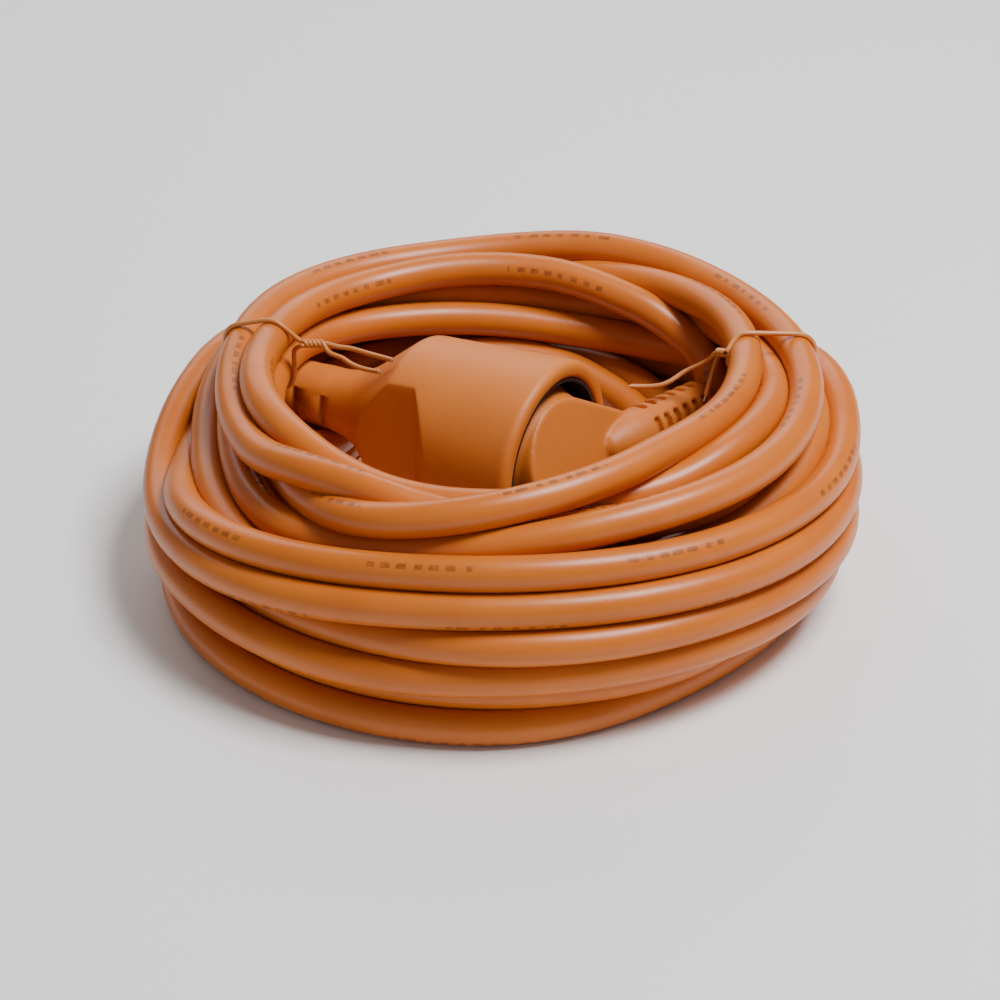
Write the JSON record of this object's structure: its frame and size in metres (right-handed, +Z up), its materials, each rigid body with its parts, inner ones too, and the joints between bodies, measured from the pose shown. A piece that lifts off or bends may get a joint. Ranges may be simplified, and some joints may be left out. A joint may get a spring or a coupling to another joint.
{
  "type": "extension cord",
  "caption": "Coiled three-core mains extension cord with an angled moulded plug seated in its own moulded coupler, held by wire ties.",
  "frame": {"origin": "on the floor under the middle of the coil", "axes": "+Z up; +X to the right and +Y away as seen from the side that the coupler's mouth turns towards"},
  "size_m": [0.1748, 0.1748, 0.058],
  "materials": {
    "cord_pvc": "satin orange PVC",
    "coupler_pvc": "satin moulded PVC",
    "plug_pvc": "satin moulded PVC",
    "dark_insert": "matt hard plastic",
    "brass": "bright",
    "pin_metal": "bright nickel plate",
    "brown_core": "satin",
    "blue_core": "satin",
    "earth_core": "satin, green and yellow",
    "tie_coat": "satin",
    "tie_wire": "bright wire"
  },
  "bodies": {
    "root": {"coupler_shell": "coupler_pvc", "coupler_liner": "dark_insert", "coupler_contact_carrier": "dark_insert", "coupler_line_contact": "brass", "coupler_neutral_contact": "brass", "coupler_earth_clip": "pin_metal", "coupler_brown_core": "brown_core", "coupler_blue_core": "blue_core", "coupler_earth_core": "earth_core", "coupler_lead": "cord_pvc", "cord_coil_lower": "cord_pvc", "cord_coil_upper": "cord_pvc", "plug_lead": "cord_pvc", "left_tie_coat": "tie_coat", "left_tie_wire": "tie_wire", "right_tie_coat": "tie_coat", "right_tie_wire": "tie_wire"},
    "plug": {"plug_body": "plug_pvc", "plug_insert": "dark_insert", "plug_line_pin": "pin_metal", "plug_neutral_pin": "pin_metal", "plug_earth_strips": "pin_metal", "plug_earth_socket": "brass", "plug_cord_end": "cord_pvc", "plug_brown_core": "brown_core", "plug_blue_core": "blue_core", "plug_earth_core": "earth_core"}
  },
  "joints": [
    {"name": "plug_pull", "type": "slide", "parent": "root", "child": "plug", "axis": [0.8572, -0.515, 0], "range_m": [0, 0.02]}
  ]
}
